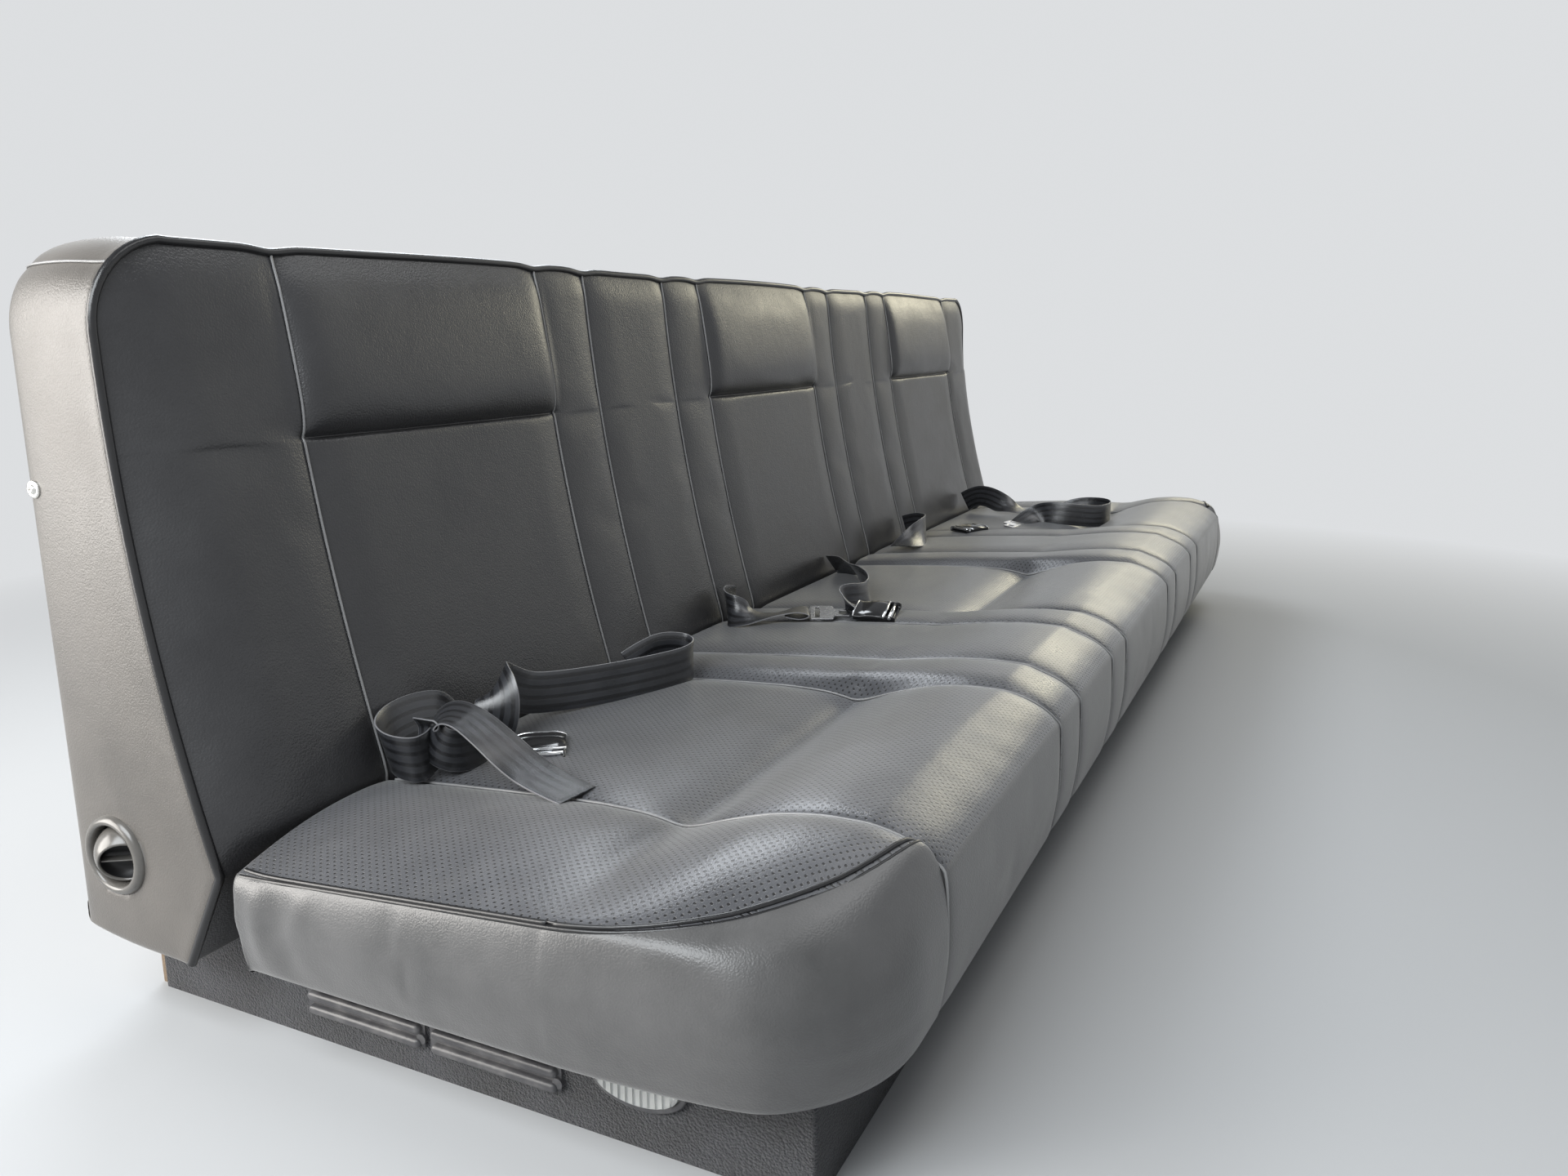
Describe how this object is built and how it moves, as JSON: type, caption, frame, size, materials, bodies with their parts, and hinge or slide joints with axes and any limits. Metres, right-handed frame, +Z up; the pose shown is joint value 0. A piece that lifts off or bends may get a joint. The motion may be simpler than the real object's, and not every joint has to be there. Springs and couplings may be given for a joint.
{
  "type": "limousine side bench seat",
  "caption": "Long leather bench seat of a stretch limousine on its carpeted plinth, with a tall backrest, lap belts, louvred vents and a courtesy lamp in its near end.",
  "frame": {"origin": "on the floor, under the middle of the bench", "axes": "+X runs along the bench, away from the end with the vents; +Y points at the wall behind the backrest; +Z is up"},
  "size_m": [2.42, 0.804, 0.734],
  "materials": {
    "leather": "black upholstery leather, satin",
    "carpet": "dark blue-grey cut pile carpet",
    "plywood": "plain birch plywood",
    "webbing": "black woven polyester webbing",
    "black_plastic": "moulded black plastic",
    "chrome": "polished chrome plate",
    "lens": "clear fluted plastic",
    "zinc_steel": "zinc plated steel"
  },
  "bodies": {
    "root": {"back_panel": "plywood", "backrest_cushion": "leather", "belt_1_buckle": "black_plastic", "belt_1_buckle_strap": "webbing", "belt_1_tongue": "chrome", "belt_1_tongue_strap": "webbing", "belt_2_buckle": "black_plastic", "belt_2_buckle_strap": "webbing", "belt_2_tongue": "chrome", "belt_2_tongue_strap": "webbing", "belt_3_buckle": "black_plastic", "belt_3_buckle_strap": "webbing", "belt_3_tongue": "chrome", "belt_3_tongue_strap": "webbing", "carpet_far_end": "carpet", "carpet_front": "carpet", "carpet_near_end": "carpet", "cushion_board": "plywood", "end_vent_1": "black_plastic", "end_vent_2": "black_plastic", "floor_angle_1": "zinc_steel", "floor_angle_2": "zinc_steel", "floor_angle_3": "zinc_steel", "floor_angle_4": "zinc_steel", "lamp_bezel": "black_plastic", "lamp_lens": "lens", "outlet_ball": "black_plastic", "outlet_bezel": "black_plastic", "plinth_far_end_board": "plywood", "plinth_front_board": "plywood", "plinth_near_end_board": "plywood", "plinth_rib_1": "plywood", "plinth_rib_2": "plywood", "plinth_rib_3": "plywood", "seat_cushion": "leather", "seat_deck": "plywood", "wall_bracket_1": "zinc_steel", "wall_bracket_2": "zinc_steel", "wall_bracket_3": "zinc_steel"}
  },
  "joints": []
}
